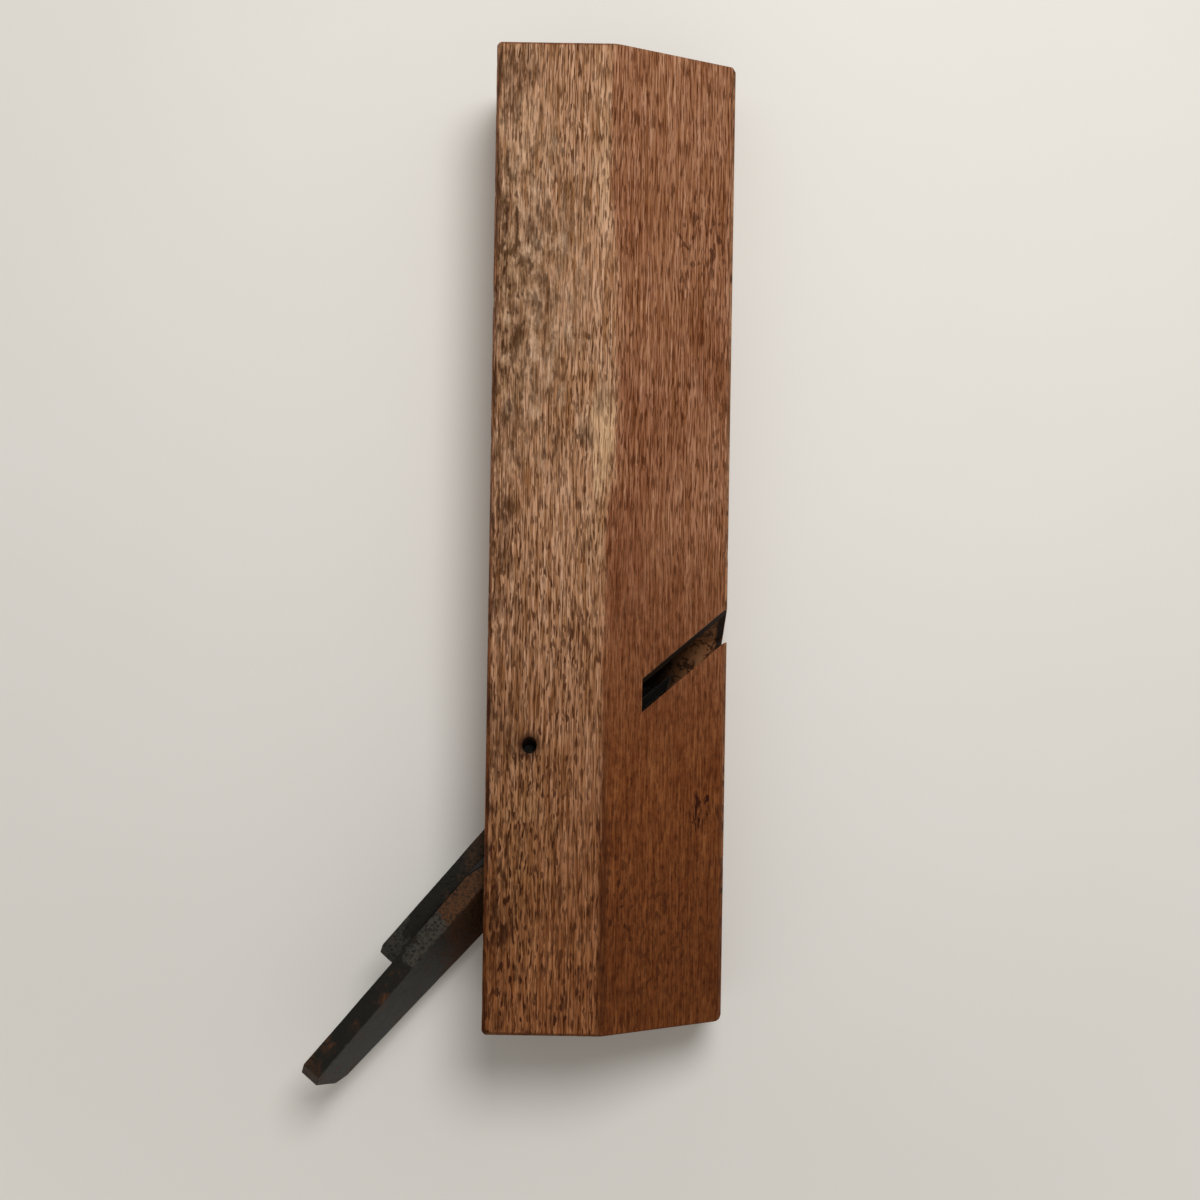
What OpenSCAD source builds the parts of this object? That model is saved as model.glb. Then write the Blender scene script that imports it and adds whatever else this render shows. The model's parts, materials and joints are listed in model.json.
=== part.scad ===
// Skew rebate plane with a double iron, of the kind that is pulled, lying on its plain cheek.
// +Z is up through the bevelled cheek, +X points to the toe, +Y to the top face that the irons leave,
// and the sole faces -Y. The origin is the middle of the plain cheek, on which the plane rests.
// The irons stand drawn back up their bed, as the plane is put away.

/* [Body] */
// Length from heel to toe
body_l = 212; // [190:1:240]
// Height from the sole to the top face
body_h = 52.2; // [48:0.1:58]
// Thickness from cheek to cheek
body_t = 37; // [35:0.5:44]
// Height of the upright upper part of the bevelled cheek
cheek_h = 24.7; // [20:0.1:30]
// Angle at which the bevelled flank leans in to the sole
flank_angle = 30; // [24:0.5:33]
// Chamfer that eases the long arrises and the ends
arris = 0.8; // [0.2:0.1:2]

/* [Bed and throat] */
// Angle between bed and sole, square to the mouth
pitch = 45; // [42:0.5:50]
// Angle by which the mouth is skewed across the sole
skew = 28.5; // [26:0.5:34]
// Distance from the heel to where the bed meets the sole at the bevelled flank
mouth_from_heel = 84.8; // [75:0.1:100]
// Wood left between the upright cheek and the iron slot
near_wall = 5; // [3:0.1:7]
// Wood left between the plain cheek and the iron slot
far_wall = 5.5; // [4:0.1:8]
// Depth of the iron groove beside the throat on the bevelled side
near_step = 1.2; // [0.8:0.1:3]
// Depth of the iron groove beside the throat on the plain side
far_step = 2.5; // [1:0.1:4]
// Wood left between the flank and the throat
flank_wall = 2.8; // [1.5:0.1:4]
// Slope of the short wall just above the mouth
wear_angle = 75; // [72:1:85]
// Height of that short wall
wear_h = 10; // [7:0.5:14]
// Slope of the throat's front wall above it
front_angle = 57; // [54:1:75]

/* [Main iron] */
// Length along the slide, from edge to head
iron_l = 120; // [110:1:140]
// Thickness at the cutting edge
iron_edge_t = 3.7; // [3:0.1:4.2]
// Thickness at the head
iron_head_t = 4.4; // [4.2:0.1:5.5]
// Angle ground on the edge
iron_bevel = 26; // [22:1:34]
// How far the iron stands drawn back from its working place
iron_draw = 18.6; // [0:0.1:30]
// Thickness of the hard steel forged to the face
steel_t = 1.3; // [0.8:0.1:2]
// Length of the hard steel up the face
steel_l = 62; // [40:1:75]
// Length of the slanting end of the hard steel
steel_scarf = 5; // [1:0.5:10]
// Depth of the hollow ground in the hard steel
hollow_t = 0.3; // [0.1:0.05:0.6]
// Flat left round that hollow
hollow_rim = 5; // [3:0.5:8]
// By which each side of the iron comes in towards the head
iron_narrow = 5.5; // [0:0.5:7]
// Length of the iron over which its sides come in
iron_narrow_l = 60; // [40:1:80]
// Corner cut off the head
head_corner = 2.5; // [1:0.5:5]

/* [Chipbreaker] */
// Length along the slide, from lip to head
chip_l = 86; // [75:0.5:95]
// Thickness behind the lip
chip_lip_t = 4.2; // [3.2:0.1:4.5]
// Thickness at the head
chip_head_t = 4.7; // [4.5:0.1:6]
// Angle ground on the lip
lip_bevel = 32; // [25:1:45]
// Blunt front of the lip
lip_nose = 0.4; // [0.2:0.1:0.8]
// Distance of the lip behind the cutting edge at rest
lip_set = 2.5; // [1:0.1:12]
// Least distance of the lip behind the cutting edge in use
lip_least = 0.8; // [0.4:0.1:1]
// Flat of the lip that lies on the iron
lip_land = 5; // [2:0.5:8]
// Thickness of the hard steel under the lip
lip_steel_t = 1.2; // [0.8:0.1:1.6]
// Length of the hard steel under the lip
lip_steel_l = 24; // [15:1:35]
// Hollow under the chipbreaker, between lip and ears
chip_hollow = 0.6; // [0.3:0.1:0.7]
// Length of the bent ears at the head
ear_l = 9; // [5:0.5:14]
// Width of each ear
ear_w = 4; // [3:0.5:5.5]
// By which each side of the chipbreaker comes in towards the head
chip_narrow = 4; // [0:0.5:5]
// Length of the chipbreaker over which its sides come in
chip_narrow_l = 45; // [25:1:60]
// Corner cut off the head
chip_corner = 2; // [1:0.5:4]

/* [Retaining pin] */
// Diameter of the pin
pin_d = 3.05; // [2.4:0.05:4]
// Place of the pin up the bed, from the sole
pin_up = 49.8; // [44:0.1:58]
// Depth of the pin's end below the cheek, along the pin
pin_recess = 3; // [0.5:0.1:5]
// Depth of the pin's seat in the wood on the plain side, along the pin
pin_seat = 6; // [3:0.1:8]

/* [Clearances] */
// Between the iron's back and the bed
bed_gap = 0.1; // [0.05:0.01:0.2]
// Between the iron's face and its groove when driven home
groove_gap = 0.2; // [0.1:0.01:0.4]
// Between the iron's sides and the ends of its slot
side_gap = 0.25; // [0.1:0.01:0.5]
// By which the trimmed corner of the iron stays below the flank
flush_gap = 0.15; // [0.1:0.01:0.4]
// Between the lip and ears of the chipbreaker and the iron's face
seat_gap = 0.06; // [0.04:0.01:0.15]
// Between the chipbreaker's sides and the throat
chip_gap = 0.3; // [0.2:0.01:0.6]
// Between the pin and the chipbreaker when driven home
pin_gap = 0.7; // [0.3:0.05:1]
// Between the pin and its hole, on the diameter
pin_fit = 0.05; // [0.02:0.01:0.2]

/* [Hidden] */
$fn = 64;

// Cross-section of the body: the ridge where the flank begins, and the sole's edge below the flank
sole_y = -body_h / 2;
top_y = body_h / 2;
ridge_y = top_y - cheek_h;
flank_edge_z = body_t - (body_h - cheek_h) * tan(flank_angle);
// Place along the body of the bed's foot at the flank
mouth_x = mouth_from_heel - body_l / 2;

// Slide of the irons: it lies in the bed and level with the cheeks, at the bed's angle seen from the side
side_angle = atan(tan(pitch) * cos(skew));
slide = [-cos(side_angle), sin(side_angle), 0];
// Climb up the bed, square to the mouth, for each unit of slide
slide_climb = 1 / sqrt(1 + pow(tan(skew) * cos(pitch), 2));
// Share of a plate's thickness that a cut level with the cheeks shows
plate_lean = sqrt(1 - pow(sin(skew) * sin(pitch), 2));

// Main iron: height of its face over the bed at the edge, and the edge's place up the bed
iron_taper = atan((iron_head_t - iron_edge_t) / (iron_l * slide_climb));
edge_out = bed_gap + iron_edge_t;
edge_home = -edge_out / tan(pitch);
edge_up = edge_home + iron_draw * slide_climb;
edge_slide = iron_draw - edge_out / plate_lean / tan(side_angle);
iron_low = far_wall + side_gap;
iron_high = body_t - near_wall - side_gap;

// Slot for the iron: as thick as the iron is at the top of its groove when driven home
groove_up = body_h / sin(pitch) - edge_home;
slot_t = edge_out + groove_up * tan(iron_taper) + groove_gap;
mouth_front = slot_t / sin(pitch);

// Throat, and the chipbreaker between its sides
throat_low = far_wall + far_step;
throat_high = body_t - near_wall - near_step;
chip_taper = atan((chip_head_t - chip_lip_t) / (chip_l * slide_climb));
chip_low = throat_low + chip_gap;
chip_high = throat_high - chip_gap;
chip_advance = iron_draw + lip_set - lip_least;
lip_up = lip_set * slide_climb;
lip_shoulder = lip_up + (chip_lip_t - lip_nose) / tan(lip_bevel);
chip_end = edge_slide + lip_set + chip_l;

// Retaining pin: clear of both irons when they are driven home, with its ends along the mouth line
pin_over_edge = pin_up - edge_home;
pin_over_lip = pin_over_edge - lip_least * slide_climb;
irons_t = edge_out + pin_over_edge * tan(iron_taper) + chip_lip_t + pin_over_lip * tan(chip_taper);
pin_out = irons_t + pin_gap + pin_d / 2;
pin_foot_z = flank_edge_z + sin(skew) * (pin_up * cos(pitch) - pin_out * sin(pitch));
pin_mouth = (body_t - pin_foot_z) / cos(skew);
pin_high = pin_mouth - pin_recess;
pin_low = (throat_low - pin_foot_z) / cos(skew) - pin_seat;

// Overrun of cuts past a face, and a length that passes right through the plane
over = 1;
reach = 2 * body_l;

// Frame whose Z runs along the mouth line, X ahead of it and Y up from the sole
module at_mouth() {
    translate([mouth_x, sole_y, flank_edge_z])
        rotate([0, skew, 0])
            children();
}

// Frame of the bed: X out from the bed, Y up the bed, Z along the mouth line
module on_bed() {
    at_mouth()
        rotate([0, 0, 90 - pitch])
            children();
}

// Frame of the iron's face: X out from the face, Y up the face from the edge, Z along the mouth line
module on_face() {
    on_bed()
        translate([edge_out, edge_up, 0])
            rotate([0, 0, -iron_taper])
                children();
}

// Outline carried both ways along the mouth line
module along_mouth(points) {
    linear_extrude(reach, center = true)
        polygon(points);
}

// Outline of height against thickness carried along the body
module along_body(points, length) {
    rotate([90, 0, 90])
        linear_extrude(length, center = true)
            polygon(points);
}

// All that lies between two levels
module between(low, high) {
    translate([-reach / 2, -reach / 2, low])
        cube([reach, reach, high - low]);
}

// All that lies deeper than the flank by a depth measured level with the sole
module under_flank(depth) {
    line_z = body_t - depth;
    along_body([
        [-reach, -reach],
        [reach, -reach],
        [reach, line_z + (reach - ridge_y) * tan(flank_angle)],
        [-reach, line_z - (reach + ridge_y) * tan(flank_angle)],
    ], reach);
}

// Plan of a plate with level sides, which come in over a run to the head, and the corners cut off its head
module plate_plan(from, to, low, high, corner, narrow = 0, run = 10) {
    shoulder = narrow * (run - corner) / run;
    translate([mouth_x, sole_y, 0])
        rotate([90, 0, 180 - side_angle])
            linear_extrude(reach, center = true)
                polygon([
                    [from, low],
                    [to - run, low],
                    [to - corner, low + shoulder],
                    [to, low + narrow + corner],
                    [to, high - narrow - corner],
                    [to - corner, high - shoulder],
                    [to - run, high],
                    [from, high],
                ]);
}

// Rectangle about the origin with its corners chamfered
module eased_rectangle(length, width, cut) {
    polygon([
        for (side = [[1, 1], [-1, 1], [-1, -1], [1, -1]])
            for (turn = side[0] * side[1] > 0 ? [0, 1] : [1, 0])
                [side[0] * (length / 2 - turn * cut), side[1] * (width / 2 - (1 - turn) * cut)]
    ]);
}

// Block of the body before the slot, throat and pin hole are cut
module body_block() {
    intersection() {
        along_body([
            [sole_y, arris],
            [sole_y + arris, 0],
            [top_y - arris, 0],
            [top_y, arris],
            [top_y, body_t - arris],
            [top_y - arris, body_t],
            [ridge_y, body_t],
            [sole_y + arris, flank_edge_z + arris * tan(flank_angle)],
            [sole_y, flank_edge_z - arris],
        ], body_l);
        linear_extrude(reach, center = true)
            eased_rectangle(body_l, body_h, arris);
        translate([0, 0, body_t / 2])
            rotate([90, 0, 0])
                linear_extrude(reach, center = true)
                    eased_rectangle(body_l, body_t, arris);
    }
}

// Slot for the iron, which breaks out through the flank
module iron_slot() {
    intersection() {
        on_bed()
            along_mouth([[0, -reach], [slot_t, -reach], [slot_t, reach], [0, reach]]);
        between(far_wall, body_t - near_wall);
    }
}

// Throat ahead of the irons, narrower than the slot
module throat() {
    top_h = body_h + over;
    wear_x = mouth_front - wear_h / tan(wear_angle);
    intersection() {
        at_mouth()
            along_mouth([
                [over / tan(pitch), -over],
                [mouth_front + over / tan(wear_angle), -over],
                [wear_x, wear_h],
                [wear_x - (top_h - wear_h) / tan(front_angle), top_h],
                [-top_h / tan(pitch), top_h],
            ]);
        between(throat_low, throat_high);
        under_flank(flank_wall);
    }
}

// Drilled hole for the pin, blind in the wood on the plain side
module pin_hole() {
    on_bed()
        translate([pin_out, pin_up, pin_low])
            cylinder(h = pin_mouth - pin_low + pin_d, d = pin_d + pin_fit);
}

// Body: one block of oak
module body() {
    color("#8c6444")
        difference() {
            body_block();
            iron_slot();
            throat();
            pin_hole();
        }
}

// Main iron before its two metals are parted
module main_iron() {
    heel_up = edge_up + iron_edge_t / tan(iron_bevel);
    intersection() {
        on_bed()
            along_mouth([
                [edge_out, edge_up],
                [edge_out + reach * tan(iron_taper), edge_up + reach],
                [bed_gap, edge_up + reach],
                [bed_gap, heel_up],
            ]);
        plate_plan(
            -reach, edge_slide + iron_l, iron_low, iron_high, head_corner, iron_narrow, iron_narrow_l
        );
        translate(iron_draw * slide)
            under_flank(flush_gap);
    }
}

// Hard steel's share of the main iron
module steel_zone() {
    on_face()
        along_mouth([
            [-steel_t, -over],
            [over, -over],
            [over, steel_l + over * steel_scarf / steel_t],
            [-steel_t, steel_l - steel_scarf],
        ]);
}

// Hollow ground in the face of the hard steel
module face_hollow() {
    intersection() {
        on_face()
            along_mouth([
                [-hollow_t, hollow_rim + hollow_t],
                [over, hollow_rim - over],
                [over, steel_l - steel_scarf + over],
                [-hollow_t, steel_l - steel_scarf - hollow_t],
            ]);
        between(iron_low + hollow_rim, iron_high - hollow_rim);
        translate(iron_draw * slide)
            under_flank(flush_gap + hollow_rim);
    }
}

// Soft iron back of the main iron
module iron_back() {
    color("#3b342b")
        difference() {
            main_iron();
            steel_zone();
        }
}

// Hard steel face of the main iron
module iron_steel() {
    color("#6b6a66")
        difference() {
            intersection() {
                main_iron();
                steel_zone();
            }
            face_hollow();
        }
}

// Hollow under the chipbreaker, from its lip to the head and in between the ears bent down at its corners
module under_hollow() {
    land_end = lip_up + lip_land - seat_gap;
    difference() {
        on_face()
            along_mouth([
                [-over, land_end - over],
                [chip_hollow, land_end + chip_hollow],
                [chip_hollow, reach],
                [-over, reach],
            ]);
        for (side = [chip_low + chip_narrow, chip_high - chip_narrow])
            plate_plan(chip_end - ear_l, chip_end + ear_l, side - ear_w, side + ear_w, over);
    }
}

// Chipbreaker before its two metals are parted
module whole_chipbreaker() {
    difference() {
        intersection() {
            on_face()
                along_mouth([
                    [seat_gap, lip_up],
                    [seat_gap, reach],
                    [chip_lip_t + (reach - lip_shoulder) * tan(chip_taper), reach],
                    [chip_lip_t, lip_shoulder],
                    [seat_gap + lip_nose, lip_up],
                ]);
            plate_plan(-reach, chip_end, chip_low, chip_high, chip_corner, chip_narrow, chip_narrow_l);
            translate(chip_advance * slide)
                under_flank(flank_wall + chip_gap);
        }
        under_hollow();
    }
}

// Hard steel's share of the chipbreaker
module lip_zone() {
    on_face()
        along_mouth([
            [-over, 0],
            [lip_steel_t, 0],
            [lip_steel_t, lip_up + lip_steel_l],
            [-over, lip_up + lip_steel_l],
        ]);
}

// Soft iron body of the chipbreaker, with its ears
module chipbreaker() {
    color("#453d33")
        difference() {
            whole_chipbreaker();
            lip_zone();
        }
}

// Hard steel lip of the chipbreaker
module chipbreaker_lip() {
    color("#75736e")
        intersection() {
            whole_chipbreaker();
            lip_zone();
        }
}

// Steel pin across the throat that the chipbreaker is driven under
module retaining_pin() {
    color("#55524c")
        on_bed()
            translate([pin_out, pin_up, pin_low])
                cylinder(h = pin_high - pin_low, d = pin_d);
}

body();
iron_back();
iron_steel();
chipbreaker();
chipbreaker_lip();
retaining_pin();
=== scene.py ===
"""A skew rebate plane of old oak with forged irons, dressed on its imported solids."""
import json

import bmesh
import bpy
import numpy as np
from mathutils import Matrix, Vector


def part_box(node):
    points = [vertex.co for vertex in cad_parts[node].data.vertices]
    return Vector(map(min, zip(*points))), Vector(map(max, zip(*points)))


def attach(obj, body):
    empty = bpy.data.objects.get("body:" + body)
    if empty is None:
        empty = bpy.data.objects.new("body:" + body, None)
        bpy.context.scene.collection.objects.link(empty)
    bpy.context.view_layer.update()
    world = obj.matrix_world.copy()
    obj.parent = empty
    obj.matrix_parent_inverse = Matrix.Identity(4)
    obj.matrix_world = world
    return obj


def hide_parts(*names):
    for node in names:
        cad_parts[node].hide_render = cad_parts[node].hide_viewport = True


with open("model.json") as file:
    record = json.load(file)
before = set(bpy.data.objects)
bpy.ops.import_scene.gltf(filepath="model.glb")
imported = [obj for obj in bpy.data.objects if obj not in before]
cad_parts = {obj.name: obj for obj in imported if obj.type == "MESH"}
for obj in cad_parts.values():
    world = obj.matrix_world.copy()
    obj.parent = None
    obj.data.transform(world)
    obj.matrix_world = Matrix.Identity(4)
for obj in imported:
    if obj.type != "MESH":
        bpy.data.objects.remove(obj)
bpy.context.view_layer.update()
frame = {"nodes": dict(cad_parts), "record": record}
scene = bpy.context.scene
MM = 0.001

# Body: one block of evergreen oak, sawn so that its cheeks show the ends of the rays as dark flecks.
# It is planed, chopped out for the irons and drilled for the pin, then worn, stained and nicked in use.


def points_of(piece):
    """Corners of a piece as an array, one row each."""
    flat = np.empty(len(piece.data.vertices) * 3)
    piece.data.vertices.foreach_get("co", flat)
    return flat.reshape(-1, 3)


def largest_slope(name):
    """Plane of a node's largest face not square to an axis: its normal, and its level along that."""
    nearly_square = 0.98
    node = frame["nodes"][name]
    corners = points_of(node)[np.array([face.vertices[:3] for face in node.data.polygons])]
    cross = np.cross(corners[:, 1] - corners[:, 0], corners[:, 2] - corners[:, 0])
    area = np.linalg.norm(cross, axis=1)
    normal = cross / np.maximum(area, 1e-15)[:, None]
    area[np.abs(normal).max(axis=1) > nearly_square] = 0
    best = area.argmax()
    return normal[best], corners[best].mean(axis=0) @ normal[best]


low, high = (np.array(corner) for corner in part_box("body"))
flank_normal, flank_level = largest_slope("body")
ridge_y = (flank_level - flank_normal[2] * high[2]) / flank_normal[1]
flank_edge_z = (flank_level - flank_normal[1] * low[1]) / flank_normal[2]
# Section of the block, from corner to corner: plain cheek, top face, upright cheek, flank and sole.
section = np.array([
    [low[1], low[2]],
    [high[1], low[2]],
    [high[1], high[2]],
    [ridge_y, high[2]],
    [low[1], flank_edge_z],
])
section_step = np.roll(section, -1, axis=0) - section
section_side = section_step / np.linalg.norm(section_step, axis=1)[:, None]
section_out = np.stack([section_side[:, 1], -section_side[:, 0]], axis=1)
section_level = (section * section_out).sum(axis=1)


def mesh_piece(name, points, faces):
    """A new object at the origin that holds these points and faces."""
    mesh = bpy.data.meshes.new(name)
    mesh.from_pydata(points, [], faces)
    mesh.update()
    piece = bpy.data.objects.new(name, mesh)
    scene.collection.objects.link(piece)
    return piece


def ring_faces(rows, columns):
    """Quads between the rows of a grid whose columns close into a ring, and a face over each end."""
    i, j = np.meshgrid(np.arange(rows - 1), np.arange(columns), indexing="ij")
    k = (j + 1) % columns
    row, next_row = i * columns, (i + 1) * columns
    quads = np.stack([row + j, row + k, next_row + k, next_row + j], axis=-1)
    ends = [np.arange(columns)[::-1], np.arange((rows - 1) * columns, rows * columns)]
    return quads.reshape(-1, 4).tolist() + [end.tolist() for end in ends]


def nicks(x, places, depths, widths):
    """Sum of bell-shaped dips along x: each is depth times exp(-((x - place) / width) squared)."""
    return (depths * np.exp(-(((x[:, None] - places) / widths) ** 2))).sum(axis=1)


def worn_skin():
    """Closed skin just outside the block, that falls inside it only where the wood has worn away.
    Its sides follow the block's section. Each arris is a quadratic curve between two points at one
    distance from the corner, and that distance swells at the nicks along it. At the ends every side
    curves in the same way, by its own length."""
    stand_off = 0.06 * MM
    end_zone = 4 * MM
    eased = np.array([0.9, 0.9, 0.9, 1.6, 0.8]) * MM
    nick_count = [9, 7, 38, 14, 10]
    nick_wide = np.array([1.0, 1.0, 0.8, 3.5, 1.0])
    nick_deep = np.array([0.5, 0.5, 0.65, 0.5, 0.5])
    deepest_nick = 1.2 * MM
    heel_round = np.array([0.8, 0.8, 0.8, 0.9, 2.2]) * MM
    toe_round = np.array([0.8, 0.8, 0.8, 0.8, 1.0]) * MM
    along = np.linspace(low[0] + end_zone, high[0] - end_zone, 300)
    turn = np.linspace(0, 1, 7)
    bend = np.linspace(0, 1, 5)
    rng = np.random.default_rng(11)
    level = section_level + stand_off
    place = np.concatenate([
        low[0] - stand_off + np.outer((1 - turn[::-1]) ** 2, heel_round),
        np.repeat(along[:, None], len(section), axis=1),
        high[0] + stand_off - np.outer((1 - turn) ** 2, toe_round),
    ])
    inset = np.concatenate([
        np.outer(turn[::-1] ** 2, heel_round),
        np.zeros((len(along), len(section))),
        np.outer(turn**2, toe_round),
    ])
    rings = []
    for b in range(len(section)):
        a = b - 1
        levels = np.stack([level[a] - inset[:, a], level[b] - inset[:, b]])
        corner = np.linalg.solve(section_out[[a, b]], levels).T[:, None]
        count = nick_count[b]
        cut = eased[b] + nicks(
            place[:, [a, b]].mean(axis=1),
            rng.uniform(low[0], high[0], count),
            np.minimum(rng.gamma(1.4, nick_deep[b] * MM, count), deepest_nick),
            nick_wide[b] * rng.uniform(0.8, 3.2, count) * MM,
        )[:, None, None]
        t = bend[None, :, None]
        start, end = corner - cut * section_side[a], corner + cut * section_side[b]
        curve = (1 - t) ** 2 * start + 2 * t * (1 - t) * corner + t**2 * end
        x = place[:, [a]] * (1 - bend) + place[:, [b]] * bend
        rings.append(np.concatenate([x[..., None], curve], axis=2))
    ring = np.concatenate(rings, axis=1)
    return mesh_piece("worn_skin", ring.reshape(-1, 3), ring_faces(*ring.shape[:2]))


def reworked(piece, work_on):
    """Runs mesh operations on a piece's mesh."""
    work = bmesh.new()
    work.from_mesh(piece.data)
    work_on(work)
    work.to_mesh(piece.data)
    work.free()


def joined_faces(work):
    """Joins loose triangles into whole flat faces."""
    same_point = 0.002 * MM
    still_flat = np.radians(0.5)
    bmesh.ops.remove_doubles(work, verts=work.verts, dist=same_point)
    bmesh.ops.dissolve_limit(work, angle_limit=still_flat, verts=work.verts, edges=work.edges)


def faced_out(work):
    """Turns every face of a closed mesh outwards."""
    bmesh.ops.recalc_face_normals(work, faces=work.faces)


def copy_of(node, name):
    """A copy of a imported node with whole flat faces, ready to be worked."""
    piece = bpy.data.objects.new(name, frame["nodes"][node].data.copy())
    scene.collection.objects.link(piece)
    piece.data.materials.clear()
    reworked(piece, joined_faces)
    return piece


def settled(piece):
    """Makes a piece's modifiers part of its mesh."""
    evaluated = piece.evaluated_get(bpy.context.evaluated_depsgraph_get())
    mesh = bpy.data.meshes.new_from_object(evaluated)
    piece.modifiers.clear()
    piece.data = mesh


def eased_edges(piece, width, segments=2, angle=25):
    """Rounds a piece's sharp edges by a width."""
    ease = piece.modifiers.new("eased", "BEVEL")
    ease.width = width
    ease.segments = segments
    ease.limit_method = "ANGLE"
    ease.angle_limit = np.radians(angle)
    ease.use_clamp_overlap = False
    settled(piece)


def shaded(piece, angle=35):
    """Smooth shading that keeps flat faces flat and edges past an angle sharp."""
    piece.data.shade_smooth()
    piece.data.set_sharp_from_angle(angle=np.radians(angle))
    flat = piece.modifiers.new("flat_faces", "WEIGHTED_NORMAL")
    flat.keep_sharp = True
    flat.weight = 100


oak_body = copy_of("body", "oak_body")
eased_edges(oak_body, 0.2 * MM)
skin = worn_skin()
reworked(skin, faced_out)
wear = oak_body.modifiers.new("wear", "BOOLEAN")
wear.operation = "INTERSECT"
wear.solver = "MANIFOLD"
wear.object = skin
settled(oak_body)
bpy.data.objects.remove(skin)
# The eased lips of the slot stand a hair outside the block, and are flattened onto it.
oak_body.data.vertices.foreach_set("co", np.clip(points_of(oak_body), low, high).ravel())
oak_body.data.update()


def linear(red, green, blue):
    """Shader colour for a colour given as it looks on a screen, 0 to 255."""
    value = np.array([red, green, blue]) / 255
    return (*np.where(value < 0.04045, value / 12.92, ((value + 0.055) / 1.055) ** 2.4), 1.0)


class Finish:
    """One material, worked out from a piece's own coordinates in millimetres."""

    def __init__(self, name):
        self.material = bpy.data.materials.new(name)
        self.material.use_nodes = True
        self.tree = self.material.node_tree
        self.shader = self.tree.nodes["Principled BSDF"]
        coordinates = self.add("TexCoord", {})
        self.place = self.scaled(coordinates["Object"], (1 / MM,) * 3)
        self.x, self.y, self.z = self.add("SeparateXYZ", {0: self.place})
        self.facing = self.add("SeparateXYZ", {0: coordinates["Normal"]})

    def add(self, kind, inputs, **settings):
        """Adds a node. Each input is set to a value or linked to another node's output."""
        node = self.tree.nodes.new("ShaderNode" + kind)
        for key, value in settings.items():
            setattr(node, key, value)
        for key, value in inputs.items():
            if isinstance(value, bpy.types.NodeSocket):
                self.tree.links.new(value, node.inputs[key])
            else:
                node.inputs[key].default_value = value
        return node.outputs

    def scaled(self, vector, factors):
        """The vector with each part times its own factor."""
        return self.add("VectorMath", {0: vector, 1: factors}, operation="MULTIPLY")[0]

    def moved(self, vector, offset):
        """The vector plus an offset."""
        return self.add("VectorMath", {0: vector, 1: offset}, operation="ADD")[0]

    def length(self, vector):
        """The vector's length."""
        return self.add("VectorMath", {0: vector}, operation="LENGTH")[1]

    def math(self, operation, a, b=0.0):
        """One sum on one or two values."""
        return self.add("Math", {0: a, 1: b}, operation=operation)[0]

    def product(self, first, *others):
        """All the values multiplied."""
        for other in others:
            first = self.math("MULTIPLY", first, other)
        return first

    def sum(self, first, *others):
        """All the values added."""
        for other in others:
            first = self.math("ADD", first, other)
        return first

    def rest(self, value):
        """What is left of 1."""
        return self.math("SUBTRACT", 1.0, value)

    def noise(self, vector, detail=3.0, rough=0.55):
        """Cloudy pattern, from 0 to 1, with about one cloud to a unit of the vector."""
        inputs = {"Vector": vector, "Scale": 1.0, "Detail": detail, "Roughness": rough}
        return self.add("TexNoise", inputs)[0]

    def step(self, value, start, end):
        """0 before start, 1 past end, with a soft rise between."""
        return self.add("MapRange", {0: value, 1: start, 2: end}, interpolation_type="SMOOTHSTEP")[0]

    def ranged(self, value, low_end, high_end):
        """A value from 0 to 1 carried onto another range."""
        return self.add("MapRange", {0: value, 3: low_end, 4: high_end})[0]

    def near(self, value, centre, half, soft):
        """1 within half of a centre, falling softly to 0."""
        away = self.math("ABSOLUTE", self.math("SUBTRACT", value, centre))
        return self.rest(self.step(away, half, half + soft))

    def ramp(self, value, stops):
        """Colour for a value that runs through stops, each a place and a screen colour."""
        node = self.tree.nodes.new("ShaderNodeValToRGB")
        elements = node.color_ramp.elements
        while len(elements) < len(stops):
            elements.new(0.5)
        for element, (place, colour) in zip(elements, stops):
            element.position = place
            element.color = linear(*colour)
        self.tree.links.new(value, node.inputs[0])
        return node.outputs[0]

    def blend(self, factor, a, b, kind="MIX"):
        """Colour a with b over it, as far as the factor says. MULTIPLY tints a by b."""
        return self.add("Mix", {0: factor, 6: a, 7: b}, data_type="RGBA", blend_type=kind)[2]

    def dressed(self, colour, roughness, height, depth):
        """Links the colour, the roughness and the relief, whose depth is in metres."""
        bump = self.add("Bump", {"Height": height, "Distance": depth})
        for name, value in (("Base Color", colour), ("Roughness", roughness), ("Normal", bump[0])):
            self.tree.links.new(value, self.shader.inputs[name])
        return self.material


def pin_mouth():
    """Point where the pin's line leaves the upright cheek, carried on from the middle of its foot."""
    points = points_of(frame["nodes"]["retaining_pin"])
    middle = points.mean(axis=0)
    axis = np.linalg.svd(points - middle)[2][0]
    reach = (points - middle) @ axis
    foot = points[reach < reach.min() + 0.01 * MM].mean(axis=0)
    return foot + axis * (high[2] - foot[2]) / axis[2]


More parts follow.
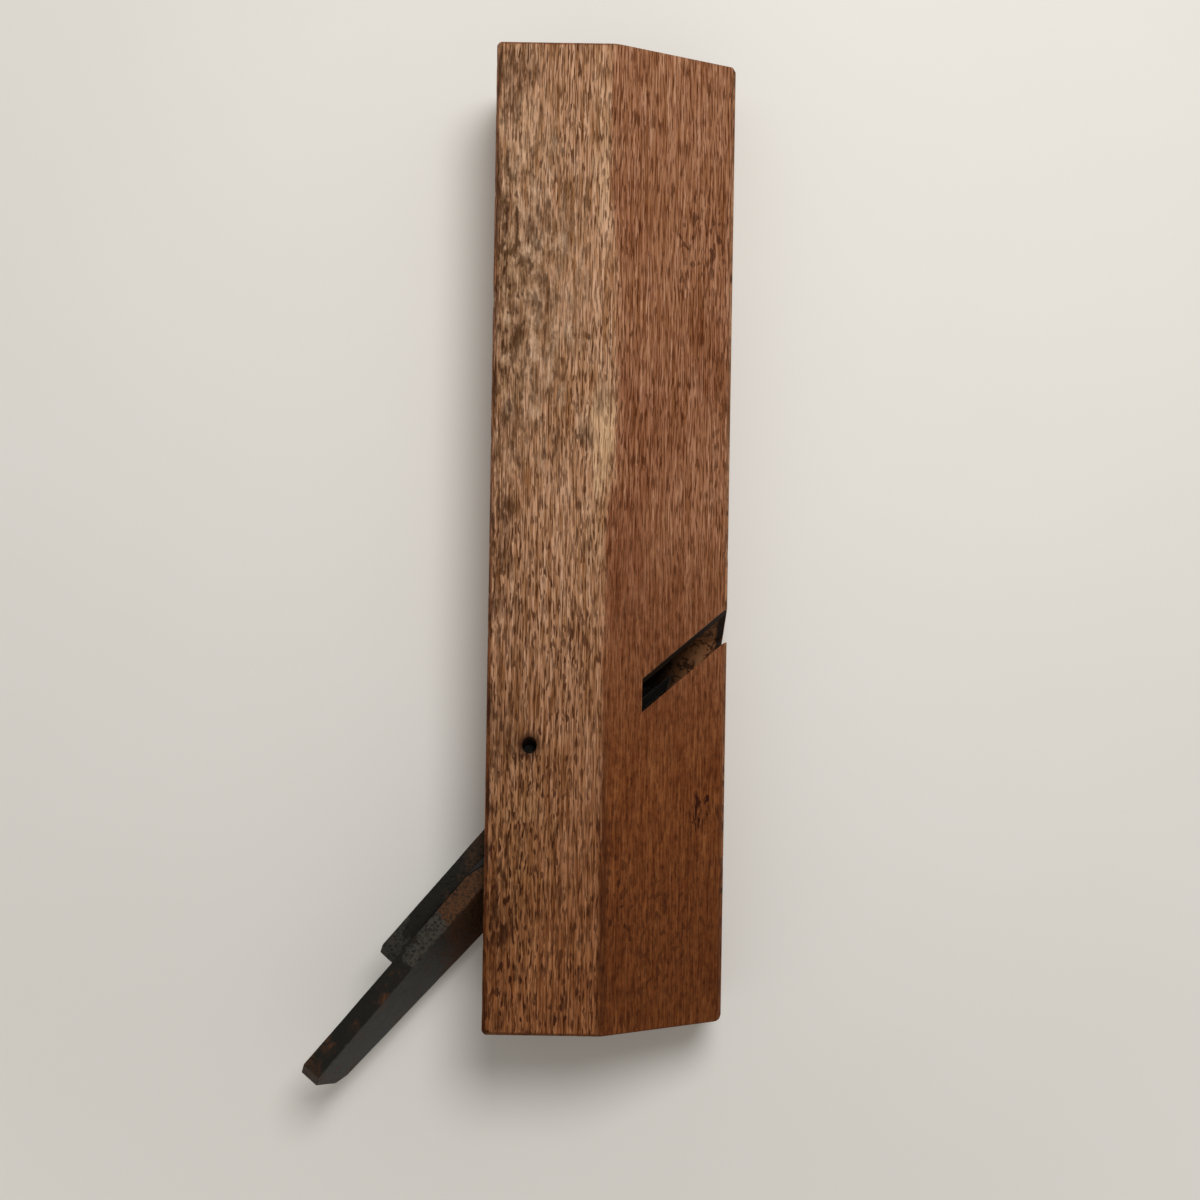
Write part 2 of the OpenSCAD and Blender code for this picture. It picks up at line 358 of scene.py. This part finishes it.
class OldOak(Finish):
    """Weathered oak. Its patterns and zones are worked out first. Each step then lays one more thing
    over the colour: pale worn places, strokes, stains, dirt, a painted shade towards the heel and on the
    sole, the end grain."""

    def __init__(self):
        super().__init__("old_oak")
        nx, ny, nz = self.facing
        self.ridge = ridge_y / MM
        self.top = high[1] / MM
        # The grain wanders a little along the body, and runs on whichever way a face lies.
        slow = self.noise(self.scaled(self.place, (0.02, 0.07, 0.07)), 2.0)
        self.wander = self.math("SUBTRACT", slow, 0.5)
        upright = self.step(self.math("ABSOLUTE", ny), 0.7, 0.85)
        over = self.sum(self.y, self.product(upright, self.math("SUBTRACT", self.z, self.y)))
        across = self.sum(over, self.product(self.wander, 1.4))
        self.grain = self.add("CombineXYZ", {0: self.x, 1: across})[0]
        # Stains and worn places have ragged outlines, smeared along the grain.
        self.smear = self.noise(self.scaled(self.grain, (0.1, 0.5, 1.0)), 5.0, 0.7)
        self.ragged = self.product(self.math("SUBTRACT", self.smear, 0.5), 3.5)
        self.ragged_y = self.sum(self.y, self.product(self.ragged, 0.9))
        # The worn ridge parts cheek from flank, and is rubbed over onto the flank ahead of the mouth.
        bulge = self.product(self.near(self.x, 38, 20, 18), 1.8)
        ridge_side = self.step(self.sum(self.ragged_y, bulge), self.ridge - 0.9, self.ridge + 0.7)
        self.cheek = self.product(self.step(nz, 0.8, 0.86), ridge_side)
        self.flank = self.product(self.step(nz, 0.5, 0.7), self.rest(self.cheek))
        self.sole = self.rest(self.step(ny, -0.9, -0.7))
        self.end = self.step(self.math("ABSOLUTE", nx), 0.6, 0.85)
        # Ramps that rise towards the heel: on the cheek, and on the flank from the mouth on. They carry
        # a painted shade of the light falling off towards the heel, and the flank's mottle.
        self.cheek_heelward = self.rest(self.step(self.x, -105, 25))
        self.flank_heelward = self.rest(self.step(self.x, -55, 25))
        # Streaks of early and late wood in two widths, over a slow cloud.
        line = self.noise(self.scaled(self.grain, (0.05, 1.5, 1.0)), 2.0, 0.5)
        shifted = self.moved(self.grain, (7.0, 3.0, 0.0))
        self.fine = self.noise(self.scaled(shifted, (0.13, 3.1, 1.0)), 1.0, 0.5)
        self.cloud = self.noise(self.scaled(self.place, (0.06, 0.14, 0.14)), 4.0, 0.6)
        self.streak = self.sum(
            self.product(line, 0.45), self.product(self.fine, 0.35), self.product(self.cloud, 0.2)
        )
        # Strokes where rays end, in four sizes.
        self.hair = self.strokes((91.0, 57.0, 0.0), 4.6, 0.25, 0.56, 0.62)
        self.short = self.strokes((31.7, 11.3, 0.0), 3.4, 0.36, 0.59, 0.64)
        self.ray = self.strokes((0.0, 0.0, 0.0), 3.0, 0.46, 0.61, 0.66)
        self.bold = self.strokes((17.0, 71.0, 0.0), 2.8, 0.78, 0.62, 0.67)

    def strokes(self, offset, length, width, least, most):
        """Strokes along the grain, about that long and wide: 1 in their middles and 0 between them."""
        stretched = self.scaled(self.moved(self.grain, offset), (1 / length, 1 / width, 1.0))
        return self.step(self.noise(stretched, 0.6, 0.5), least, most)

    def patch(self, centre, half):
        """A stain on cheek or flank: 1 in its middle, 0 past its half sizes, with a ragged outline."""
        offset = self.moved(self.place, (-centre[0], -centre[1], 0.0))
        away = self.length(self.scaled(offset, (1 / half[0], 1 / half[1], 0.0)))
        return self.rest(self.step(self.sum(away, self.ragged), 0.2, 1.25))

    def laid(self, colour, stain, zone, places, kind="MIX"):
        """Lays a stain over a zone at each place, given by its centre, its half sizes and its depth."""
        for centre, half, depth in places:
            covered = self.product(zone, self.patch(centre, half), depth)
            colour = self.blend(covered, colour, stain, kind)
        return colour

    def bare_wood(self):
        """Colour of the streaks, paler on the cheek than on the flank."""
        on_cheek = self.ramp(self.streak, (
            (0.36, (116, 74, 41)), (0.44, (139, 97, 63)), (0.5, (164, 122, 91)), (0.56, (183, 142, 112)),
            (0.64, (201, 162, 132)),
        ))
        on_flank = self.ramp(self.streak, (
            (0.36, (110, 64, 33)), (0.44, (129, 83, 53)), (0.5, (147, 100, 71)), (0.56, (161, 115, 86)),
            (0.64, (180, 136, 107)),
        ))
        return self.blend(self.flank, on_cheek, on_flank)

    def worn_pale(self, colour):
        """Places along the ridge and near the top arris that are worn to a cream colour."""
        streaky = self.ranged(self.step(self.fine, 0.4, 0.58), 0.4, 1.0)
        return self.laid(colour, linear(206, 170, 134), self.product(self.cheek, streaky), (
            ((24, self.ridge + 0.8), (13, 3.6), 0.95),
            ((82, self.ridge + 1.4), (22, 2.0), 0.5),
            ((58, self.top - 5.5), (8, 5), 0.45),
            ((84, self.top - 6), (16, 6), 0.3),
            ((33, self.top - 4), (8, 4), 0.35),
            ((2, self.ridge + 2.0), (9, 3), 0.35),
        ))

    def stroked(self, colour):
        """Dark strokes in clusters: the fine ones fade towards the heel, where the bold ones grow.
        One place on the ridge is rubbed so bare that they are faint there."""
        dark = self.blend(self.flank, linear(70, 34, 5), linear(74, 34, 6))
        darkest = linear(62, 29, 8)
        cluster = self.step(self.noise(self.scaled(self.place, (0.03, 0.08, 0.08)), 2.0), 0.32, 0.62)
        loose, tight = self.ranged(cluster, 0.5, 1.0), self.ranged(cluster, 0.4, 1.0)
        heelward = self.rest(self.step(self.x, -75, 40))
        quiet = self.rest(self.product(heelward, self.ranged(self.flank, 0.25, 0.45)))
        louder = self.ranged(heelward, 0.5, 0.95)
        hair = self.product(self.hair, quiet, self.ranged(self.flank, 0.72, 0.76))
        short = self.product(self.short, quiet, self.ranged(self.flank, 0.78, 0.8), loose)
        ray = self.product(self.ray, self.ranged(self.flank, 0.85, 0.4), tight)
        bold = self.product(self.bold, self.ranged(self.flank, 1.0, 0.25), louder, tight)
        for stroke, stain in ((hair, dark), (short, dark), (ray, dark), (bold, darkest)):
            colour = self.blend(stroke, colour, stain)
        rubbed = self.product(self.cheek, self.ranged(self.fine, 0.0, 0.6))
        rubbed_place = ((22, self.ridge + 0.4), (12, 2.8), 1.0)
        return self.laid(colour, linear(196, 157, 117), rubbed, (rubbed_place,))

    def stained_cheek(self, colour):
        """Grey mould near the toe, spots and flecks in it and along the top arris, brown places, soaked
        places, and an olive film near the heel."""
        spot = self.step(self.noise(self.scaled(self.place, (0.2, 0.5, 0.5)), 3.0, 0.6), 0.47, 0.66)
        shifted = self.moved(self.place, (5.0, 9.0, 0.0))
        fleck = self.step(self.noise(self.scaled(shifted, (0.26, 0.78, 0.78)), 2.5, 0.6), 0.51, 0.64)
        grey = self.product(self.cheek, self.patch((53, self.top - 7), (36, 13)))
        mould = self.noise(self.scaled(self.place, (0.17, 0.32, 0.32)), 4.0, 0.65)
        mould_colour = self.ramp(mould, (
            (0.36, (70, 46, 24)), (0.46, (112, 84, 58)), (0.54, (166, 133, 104)),
            (0.64, (202, 171, 143)),
        ))
        colour = self.blend(self.product(grey, 0.5), colour, mould_colour)
        by_arris = self.step(self.y, self.top - 12, self.top - 1)
        spotted = self.sum(self.product(by_arris, 0.6), self.product(grey, 0.55))
        colour = self.blend(self.product(self.cheek, spot, spotted), colour, linear(74, 48, 24))
        flecked = self.sum(self.product(grey, 0.6), self.product(by_arris, 0.4))
        colour = self.blend(self.product(self.cheek, fleck, flecked), colour, linear(62, 36, 15))
        brown = self.product(self.cheek, self.math("MAXIMUM", fleck, self.ray))
        colour = self.laid(colour, linear(66, 34, 12), brown, (
            ((-23, self.ridge + 6), (14, 8), 0.75),
            ((-87, self.ridge + 8), (26, 12), 0.6),
            ((-62, self.top - 6), (24, 8), 0.5),
            ((4, self.ridge + 5), (8, 4), 0.4),
            ((95, self.top - 6), (10, 6), 0.5),
        ))
        soaked = self.product(self.cheek, self.ranged(spot, 0.35, 0.8))
        colour = self.laid(colour, linear(62, 34, 12), soaked, (
            ((100, self.top - 6.4), (5, 3), 1.0),
            ((25, self.top - 4), (6, 2.5), 1.0),
            ((6, self.top - 3.7), (5, 2.5), 1.0),
            ((-1, self.top - 2.6), (4, 2.5), 1.0),
            ((22, self.ridge + 4.2), (3.5, 1.6), 1.0),
            ((31, self.ridge + 0.6), (6, 2.2), 1.0),
            ((21, self.ridge + 10), (3.5, 1.8), 1.0),
            ((-41, self.top - 3.5), (7, 4), 1.0),
            ((-82, self.top - 4), (8, 3.5), 1.0),
        ))
        olive = self.product(self.cheek, self.ranged(self.cloud, 0.2, 1.0))
        olive_place = ((-68, self.top - 7), (30, 9), 0.5)
        return self.laid(colour, (0.86, 0.95, 0.72, 1.0), olive, (olive_place,), "MULTIPLY")

    def stained_flank(self, colour):
        """Red places, a fine mottle towards the heel, and groups of burnt dots."""
        colour = self.laid(colour, (0.6, 0.41, 0.3, 1.0), self.flank, (
            ((-4, self.ridge - 4), (20, 7), 0.6),
            ((24, self.ridge - 8), (18, 11), 0.4),
            ((41, self.ridge - 23), (14, 8), 0.4),
            ((-28, self.ridge - 18), (24, 12), 0.35),
            ((70, self.ridge - 4), (12, 5), 0.3),
        ), "MULTIPLY")
        mottle = self.noise(self.scaled(self.place, (0.5, 0.9, 0.9)), 5.0, 0.7)
        mottle_colour = self.ramp(mottle, (
            (0.4, (70, 30, 10)), (0.5, (140, 94, 64)), (0.64, (180, 132, 100)),
        ))
        colour = self.blend(self.product(self.flank, self.flank_heelward, 0.28), colour, mottle_colour)
        shifted = self.moved(self.place, (6.0, 0.5, 0.0))
        dot = self.step(self.noise(self.scaled(shifted, (0.5, 0.75, 0.75)), 0.0), 0.6, 0.69)
        burnt = self.product(self.flank, self.math("MAXIMUM", dot, self.product(self.ray, 0.6)))
        return self.laid(colour, linear(56, 24, 8), burnt, (
            ((66, self.ridge - 20), (13, 8), 0.75),
            ((-60, self.ridge - 22.5), (7, 4), 1.0),
            ((-86, self.ridge - 14), (20, 12), 0.5),
            ((30, self.ridge - 25), (24, 4), 0.4),
            ((-75, self.ridge - 4), (18, 4), 0.55),
        ))

    def dirtied(self, colour):
        """Dirt along the ridge towards the heel, along the top arris and round the pin's hole."""
        heel_ridge = self.rest(self.step(self.x, -60, -25))
        seam = self.product(self.near(self.ragged_y, self.ridge - 0.6, 0.2, 1.5), heel_ridge)
        seam = self.product(seam, self.step(self.smear, 0.3, 0.55))
        colour = self.blend(self.product(seam, 0.55), colour, linear(58, 28, 9))
        cheek_z = high[2] / MM
        by_top = self.step(self.y, self.top - 1.5, self.top - 0.6)
        arris = self.product(by_top, self.step(self.z, cheek_z - 1.4, cheek_z - 0.6))
        arris = self.product(arris, self.step(self.smear, 0.44, 0.58))
        colour = self.blend(self.product(arris, 0.75), colour, linear(44, 22, 9))
        from_hole = self.length(self.moved(self.place, tuple(-pin_mouth() / MM)))
        halo = self.rest(self.step(self.sum(from_hole, self.product(self.ragged, -0.6)), 1.5, 3.7))
        return self.blend(self.product(halo, 0.85), colour, linear(52, 26, 8))

    def painted_shade_tint(self, colour):
        """Painted shade: redder and darker towards the heel, most of all on the flank there, as the light
        falls off from the toe, and browner on the sole, which the lamp lights more.
        """
        cheek_heelward = self.product(self.cheek_heelward, self.rest(self.flank))
        heel_falloff_shade = self.sum(cheek_heelward, self.product(self.flank_heelward, self.flank))
        tint = self.blend(self.flank, (0.56, 0.39, 0.25, 1.0), (0.54, 0.37, 0.2, 1.0))
        colour = self.blend(heel_falloff_shade, colour, tint, "MULTIPLY")
        heel = self.product(self.flank, self.rest(self.step(self.x, -100, -45)))
        colour = self.blend(heel, colour, (0.8, 0.76, 0.68, 1.0), "MULTIPLY")
        return self.blend(self.sole, colour, (0.78, 0.66, 0.52, 1.0), "MULTIPLY")

    def end_grain(self, colour):
        """Growth rings about a pith below the block, pale rays across them, pores and three checks."""
        from_pith = self.moved(self.place, (0.0, 14.0, 46.0))
        pith_y, pith_z = self.add("SeparateXYZ", {0: from_pith})[1:]
        radius = self.length(self.scaled(from_pith, (0.0, 1.0, 1.0)))
        angle = self.sum(self.math("ARCTAN2", pith_y, pith_z), self.product(self.wander, 0.05))
        ring_place = self.sum(self.product(radius, 0.5), self.product(self.wander, 2.5))
        ring = self.add("CombineXYZ", {0: ring_place, 1: self.product(angle, 1.5)})[0]
        ring = self.noise(ring, 3.0, 0.6)
        spoke = self.add("CombineXYZ", {0: self.product(angle, 75.0), 1: self.product(radius, 0.09)})[0]
        pale_ray = self.step(self.noise(spoke, 1.0), 0.54, 0.66)
        pore = self.step(self.noise(self.scaled(self.place, (0.3, 2.4, 2.4)), 1.5), 0.55, 0.68)
        pore = self.product(pore, self.step(ring, 0.4, 0.6), 0.55)
        wood = self.ramp(ring, (
            (0.34, (66, 38, 19)), (0.45, (92, 57, 33)), (0.54, (116, 78, 50)), (0.66, (138, 99, 68)),
        ))
        wood = self.blend(self.product(pale_ray, 0.4), wood, linear(150, 112, 80))
        wood = self.blend(pore, wood, linear(52, 28, 13))
        for turned, start, end in ((-0.11, 52, 66), (0.06, 58, 76), (0.29, 60, 80)):
            opened = self.near(angle, turned, 0.0012, 0.003)
            reached = self.near(radius, (start + end) / 2, (end - start) / 2, 3.0)
            wood = self.blend(self.product(opened, reached, 0.85), wood, linear(26, 13, 6))
        wood = self.blend(self.step(self.cloud, 0.5, 0.68), wood, (0.6, 0.5, 0.4, 1.0), "MULTIPLY")
        return self.blend(self.end, colour, wood)

    def finished(self):
        """The material: its colour step by step, strokes sunk below the streaks, and a smoother sole."""
        colour = self.worn_pale(self.bare_wood())
        colour = self.stained_cheek(self.stroked(colour))
        colour = self.dirtied(self.stained_flank(colour))
        colour = self.end_grain(self.painted_shade_tint(colour))
        sunk = self.sum(self.product(self.ray, -0.6), self.product(self.short, -0.4))
        height = self.sum(sunk, self.product(self.streak, 1.4))
        rough = self.math("SUBTRACT", self.ranged(self.streak, 0.8, 0.62), self.product(self.sole, 0.15))
        self.shader.inputs["Specular IOR Level"].default_value = 0.08
        return self.dressed(colour, rough, height, 0.09 * MM)


def cut_oak():
    """Raw oak in the slot and throat: paler than the skin, scored by the chisel, with painted shade at the
    openings.
    """
    oak = Finish("cut_oak")
    bend = oak.noise(oak.scaled(oak.place, (0.35, 0.35, 0.35)), 3.0)
    cloud = oak.noise(oak.scaled(oak.place, (0.12, 0.3, 0.2)), 3.0)
    score = oak.product(oak.near(bend, 0.5, 0.02, 0.03), oak.step(cloud, 0.36, 0.5))
    # Painted shade, near black: a shadow under the slot's upper edge fading 3 to 8 mm below the flank, the
    # mouth by the sole, the pin's bore and the slot over the iron.
    flank_reach = oak.sum(oak.product(oak.y, flank_normal[1]), oak.product(oak.z, flank_normal[2]))
    lip = oak.rest(oak.step(oak.math("SUBTRACT", flank_level / MM, flank_reach), 3.0, 8.0))
    sole_y = low[1] / MM
    mouth = oak.rest(oak.step(oak.y, sole_y + 1.2, sole_y + 2.2))
    bore = oak.step(oak.z, 31.0, 31.6)
    shade = oak.product(oak.step(oak.y, -21.0, -11.0), oak.rest(oak.step(oak.y, 6.0, 14.0)))
    painted_shade = oak.math("MAXIMUM", oak.math("MAXIMUM", lip, mouth), oak.math("MAXIMUM", bore, shade))
    colour = oak.blend(cloud, linear(142, 98, 64), linear(108, 68, 40))
    colour = oak.blend(oak.product(score, 0.85), colour, linear(42, 20, 8))
    colour = oak.blend(oak.product(painted_shade, 0.96), colour, linear(20, 11, 6))
    oak.shader.inputs["Specular IOR Level"].default_value = 0.07
    return oak.dressed(colour, oak.ranged(cloud, 0.7, 0.85), bend, 0.3 * MM)


def depth_inside(points):
    """Distance of each point inside the nearest of the block's outer faces."""
    sides = section_level - points[:, 1:] @ section_out.T
    ends = np.stack([points[:, 0] - low[0], high[0] - points[:, 0]], axis=1)
    return np.concatenate([sides, ends], axis=1).min(axis=1)


skin_depth = 0.9 * MM
faces = oak_body.data.polygons
middles = np.empty(len(faces) * 3)
faces.foreach_get("center", middles)
inner = depth_inside(middles.reshape(-1, 3)) > skin_depth
oak_body.data.materials.clear()
oak_body.data.materials.append(OldOak().finished())
oak_body.data.materials.append(cut_oak())
faces.foreach_set("material_index", inner.astype(int))
shaded(oak_body)
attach(oak_body, "body")
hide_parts("body")

# Main iron: a soft iron back with hard steel forged to its face, tapered, bevelled at the edge and
# hammered at the head. Its skin is dark and rough from the fire, with rust where it leaves the wood.
# It wedges into grooves in the body.
slide = np.array(frame["record"]["behaviour"]["joints"][0]["axis"])
upward = np.array([0, 0, 1.0])
face_out = largest_slope("iron_back")[0]
dent_spacing = 1.6 * MM
dent_depth = 0.16 * MM


def sliced(piece, directions, spacing):
    """Cuts a piece's faces into small ones by rows of planes square to each direction."""
    points = points_of(piece)
    work = bmesh.new()
    work.from_mesh(piece.data)
    for direction in directions:
        reach = points @ direction
        for level in np.arange(reach.min() + spacing / 2, reach.max(), spacing):
            everything = work.verts[:] + work.edges[:] + work.faces[:]
            bmesh.ops.bisect_plane(work, geom=everything, plane_co=direction * level, plane_no=direction)
    work.to_mesh(piece.data)
    work.free()


def lumps(points, size, seed):
    """Cloudy values from 0 to 1: random ones at the corners of a lattice of that size, blended smoothly."""
    cells = 32
    place = points / size
    cell = np.floor(place).astype(int)
    part = place - cell
    part = part * part * (3 - 2 * part)
    lattice = np.random.default_rng(seed).random((cells, cells, cells))
    total = np.zeros(len(points))
    for corner in np.ndindex(2, 2, 2):
        weight = np.where(corner, part, 1 - part).prod(axis=1)
        total += weight * lattice[tuple(((cell + corner) % cells).T)]
    return total


def dented(piece, depth, size, seed):
    """Beats a piece's faces in by depths that follow large and small lumps."""
    points = points_of(piece)
    normals = np.empty(points.size)
    piece.data.vertices.foreach_get("normal", normals)
    beaten = depth * (0.65 * lumps(points, size, seed) + 0.35 * lumps(points, size / 3, seed + 1))
    piece.data.vertices.foreach_set("co", (points - normals.reshape(-1, 3) * beaten[:, None]).ravel())
    piece.data.update()


def forged_skin(name, patina, rust, worn, rusty, worn_at, sheen=0.11):
    """Fire-dark iron, pitted and mottled, with rust round some places up the piece, and bare grey wear
    round one place and on the arrises. A rusty place is a middle, a half size and a depth, and worn_at
    is a middle and a half size."""
    iron = Finish(name)
    cloud = iron.noise(iron.scaled(iron.place, (0.22, 0.22, 0.22)), 5.0, 0.6)
    speck = iron.noise(iron.scaled(iron.place, (1.6, 1.6, 1.6)), 4.0, 0.65)
    pit = iron.step(iron.noise(iron.scaled(iron.place, (0.9, 0.9, 0.9)), 3.0), 0.56, 0.68)
    up = iron.sum(iron.y, iron.product(iron.math("SUBTRACT", cloud, 0.5), 18.0))
    rusted = iron.step(cloud, 0.55, 0.75)
    for middle, half, depth in rusty:
        rusted = iron.sum(rusted, iron.product(iron.near(up, middle, half, 2.5), depth))
    rusted = iron.math("MINIMUM", iron.product(rusted, iron.step(speck, 0.3, 0.6)), 1.0)
    upper = iron.step(iron.facing[2], 0.4, 0.7)
    bare = iron.product(iron.near(up, *worn_at, 1.5), iron.step(speck, 0.35, 0.55))
    bare = iron.product(bare, iron.ranged(upper, 0.3, 1.0))
    arris = iron.product(iron.near(iron.facing[2], 0.72, 0.1, 0.1), iron.step(speck, 0.4, 0.58))
    dark = linear(*(0.7 * np.array(patina)))
    colour = iron.blend(speck, dark, linear(*patina))
    colour = iron.blend(iron.product(rusted, 0.85), colour, linear(*rust))
    colour = iron.blend(iron.product(bare, 0.8), colour, linear(*worn))
    colour = iron.blend(iron.product(arris, 0.6), colour, linear(*worn))
    colour = iron.blend(iron.product(pit, 0.5), colour, dark)
    # Painted shade: the iron towards the sole, inside the throat and slot, is painted near black as if in
    # shadow.
    throat_shade = iron.rest(iron.step(iron.y, -6.0, 4.0))
    colour = iron.blend(iron.product(throat_shade, 0.92), colour, linear(8, 6, 4))
    rough = iron.sum(iron.ranged(speck, 0.38, 0.62), iron.product(rusted, 0.2))
    height = iron.math("SUBTRACT", speck, pit)
    iron.shader.inputs["Specular IOR Level"].default_value = sheen
    return iron.dressed(colour, rough, height, 0.12 * MM)


back = copy_of("iron_back", "forged_iron")
eased_edges(back, 0.35 * MM)
sliced(back, [slide, upward, face_out], dent_spacing)
dented(back, dent_depth, 9 * MM, 21)
back.data.materials.clear()
back.data.materials.append(forged_skin(
    "forged_skin", patina=(26, 24, 20), rust=(84, 54, 32), worn=(64, 61, 55),
    rusty=((30, 4.2, 1.0), (66, 4, 0.35)), worn_at=(38.5, 2.6),
))
shaded(back)
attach(back, "iron")
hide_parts("iron_back")


def ground_steel(name):
    """Steel ground across its length: fine bright scratches under a dull grey film, with brown spots.
    Its upper side has stayed black."""
    steel = Finish(name)
    along = steel.scaled(steel.place, (0.9, 0.9, 0.06))
    scratch = steel.noise(steel.scaled(along, (6, 6, 6)), 2.0)
    film = steel.noise(steel.scaled(steel.place, (0.25, 0.25, 0.25)), 4.0)
    spot = steel.step(steel.noise(steel.scaled(steel.place, (0.7, 0.7, 0.7)), 3.0), 0.6, 0.7)
    upper = steel.step(steel.facing[2], 0.4, 0.7)
    colour = steel.blend(scratch, linear(70, 68, 64), linear(112, 109, 103))
    colour = steel.blend(steel.product(film, 0.5), colour, linear(70, 65, 57))
    colour = steel.blend(steel.product(spot, 0.7), colour, linear(86, 56, 35))
    colour = steel.blend(steel.product(upper, 0.96), colour, linear(10, 8, 6))
    steel.shader.inputs["Metallic"].default_value = 0.6
    return steel.dressed(colour, steel.ranged(film, 0.32, 0.5), scratch, 0.01 * MM)


steel = copy_of("iron_steel", "hard_steel")
eased_edges(steel, 0.1 * MM)
steel.data.materials.clear()
steel.data.materials.append(ground_steel("ground_steel"))
shaded(steel)
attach(steel, "iron")
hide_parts("iron_steel")

# Chipbreaker: a shorter, thicker plate of the same iron that lies on the face of the main iron, with two
# bent ears at its head and a hard steel lip forged to its lower end. It is driven under the pin.
chip = copy_of("chipbreaker", "forged_chipbreaker")
eased_edges(chip, 0.4 * MM)
sliced(chip, [slide, upward, face_out], dent_spacing)
dented(chip, dent_depth, 8 * MM, 31)
chip.data.materials.clear()
chip.data.materials.append(forged_skin(
    "chip_skin", patina=(26, 25, 21), rust=(58, 41, 28), worn=(54, 52, 47),
    rusty=((27, 3, 1.0), (51, 3, 0.4)), worn_at=(47, 4),
))
shaded(chip)
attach(chip, "chipbreaker")
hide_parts("chipbreaker")

lip = copy_of("chipbreaker_lip", "steel_lip")
eased_edges(lip, 0.1 * MM)
lip.data.materials.clear()
lip.data.materials.append(ground_steel("lip_steel"))
shaded(lip)
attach(lip, "chipbreaker")
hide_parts("chipbreaker_lip")

# Retaining pin: a length of drawn steel, dull and almost black. It is driven across the throat, and
# its end is punched below the cheek.
pin = copy_of("retaining_pin", "drawn_pin")
eased_edges(pin, 0.25 * MM, angle=60)
pin.data.materials.clear()
pin.data.materials.append(forged_skin(
    "pin_skin", patina=(13, 12, 10), rust=(26, 17, 11), worn=(24, 23, 21),
    rusty=(), worn_at=(8, 1), sheen=0.04,
))
shaded(pin)
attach(pin, "body")
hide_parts("retaining_pin")

# Floor, light and camera: a pale table, one soft lamp over the toe and a little to the sole side,
# and a camera that looks straight down on the bevelled cheek.
lamp_place = np.array([0.24, -0.09, 0.55])


def seen(tree):
    """1 for what the camera sees, straight or in metal or glass, and 0 for light on the object."""
    path = tree.nodes.new("ShaderNodeLightPath").outputs
    total = path["Is Camera Ray"]
    for name in ("Is Glossy Ray", "Is Transmission Ray"):
        larger = tree.nodes.new("ShaderNodeMath")
        larger.operation = "MAXIMUM"
        tree.links.new(total, larger.inputs[0])
        tree.links.new(path[name], larger.inputs[1])
        total = larger.outputs[0]
    return total


def pale_floor():
    """Pale matt board with a faint cloudy unevenness. Away from the object it glows by as much as the
    lamp's light falls off there. That light goes as the reach along the beam over the distance to the
    fourth power."""
    board = Finish("pale_board")
    cloud = board.noise(board.scaled(board.place, (0.01, 0.01, 0.01)))
    colour = board.blend(cloud, linear(222, 219, 213), linear(228, 226, 221))
    lamp_far = np.linalg.norm(lamp_place)
    beam = tuple(-lamp_place / lamp_far)
    ray = board.moved(board.place, tuple(-lamp_place / MM))
    reach = board.add("VectorMath", {0: ray, 1: beam}, operation="DOT_PRODUCT")[1]
    fall = board.math("POWER", board.math("DIVIDE", board.length(ray), lamp_far / MM), 4.0)
    lit = board.math("DIVIDE", board.math("DIVIDE", reach, lamp_far / MM), fall)
    missing = board.math("MAXIMUM", board.rest(lit), 0.0)
    clear_of_object = board.step(board.length(board.place), 120, 350)
    glow = board.product(seen(board.tree), missing, clear_of_object, 0.45)
    board.shader.inputs["Specular IOR Level"].default_value = 0.1
    board.shader.inputs["Emission Color"].default_value = linear(255, 252, 246)
    board.tree.links.new(glow, board.shader.inputs["Emission Strength"])
    return board.dressed(colour, board.ranged(cloud, 0.75, 0.85), cloud, 0.02 * MM)


floor_half = 3.0
floor_corners = floor_half * np.array([(-1, -1, 0), (1, -1, 0), (1, 1, 0), (-1, 1, 0)])
floor = mesh_piece("floor", floor_corners, [(0, 1, 2, 3)])
floor.data.materials.append(pale_floor())

lamp = bpy.data.objects.new("lamp", bpy.data.lights.new("lamp", "AREA"))
scene.collection.objects.link(lamp)
lamp.location = lamp_place
lamp.rotation_mode = "QUATERNION"
lamp.rotation_quaternion = lamp.location.to_track_quat("Z", "Y")
lamp.data.shape = "DISK"
lamp.data.size = 0.25
lamp.data.energy = 2.4

sky = bpy.data.worlds.new("sky")
sky.use_nodes = True
sky_tree = sky.node_tree
background = sky_tree.nodes["Background"]
background.inputs["Color"].default_value = linear(255, 250, 243)
strength = sky_tree.nodes.new("ShaderNodeMapRange")
strength.inputs["To Min"].default_value = 0.4
strength.inputs["To Max"].default_value = 0.77
sky_tree.links.new(seen(sky_tree), strength.inputs["Value"])
sky_tree.links.new(strength.outputs[0], background.inputs["Strength"])
scene.world = sky

camera = bpy.data.objects.new("camera", bpy.data.cameras.new("camera"))
scene.collection.objects.link(camera)
camera.location = (-12.8 * MM, 2.26 * MM, 397.5 * MM)
camera.rotation_euler = (0, 0, np.radians(-89.08))
camera.data.lens = 50.8
camera.data.sensor_width = 36
camera.data.clip_start = 0.01
scene.camera = camera
scene.view_settings.view_transform = "Standard"
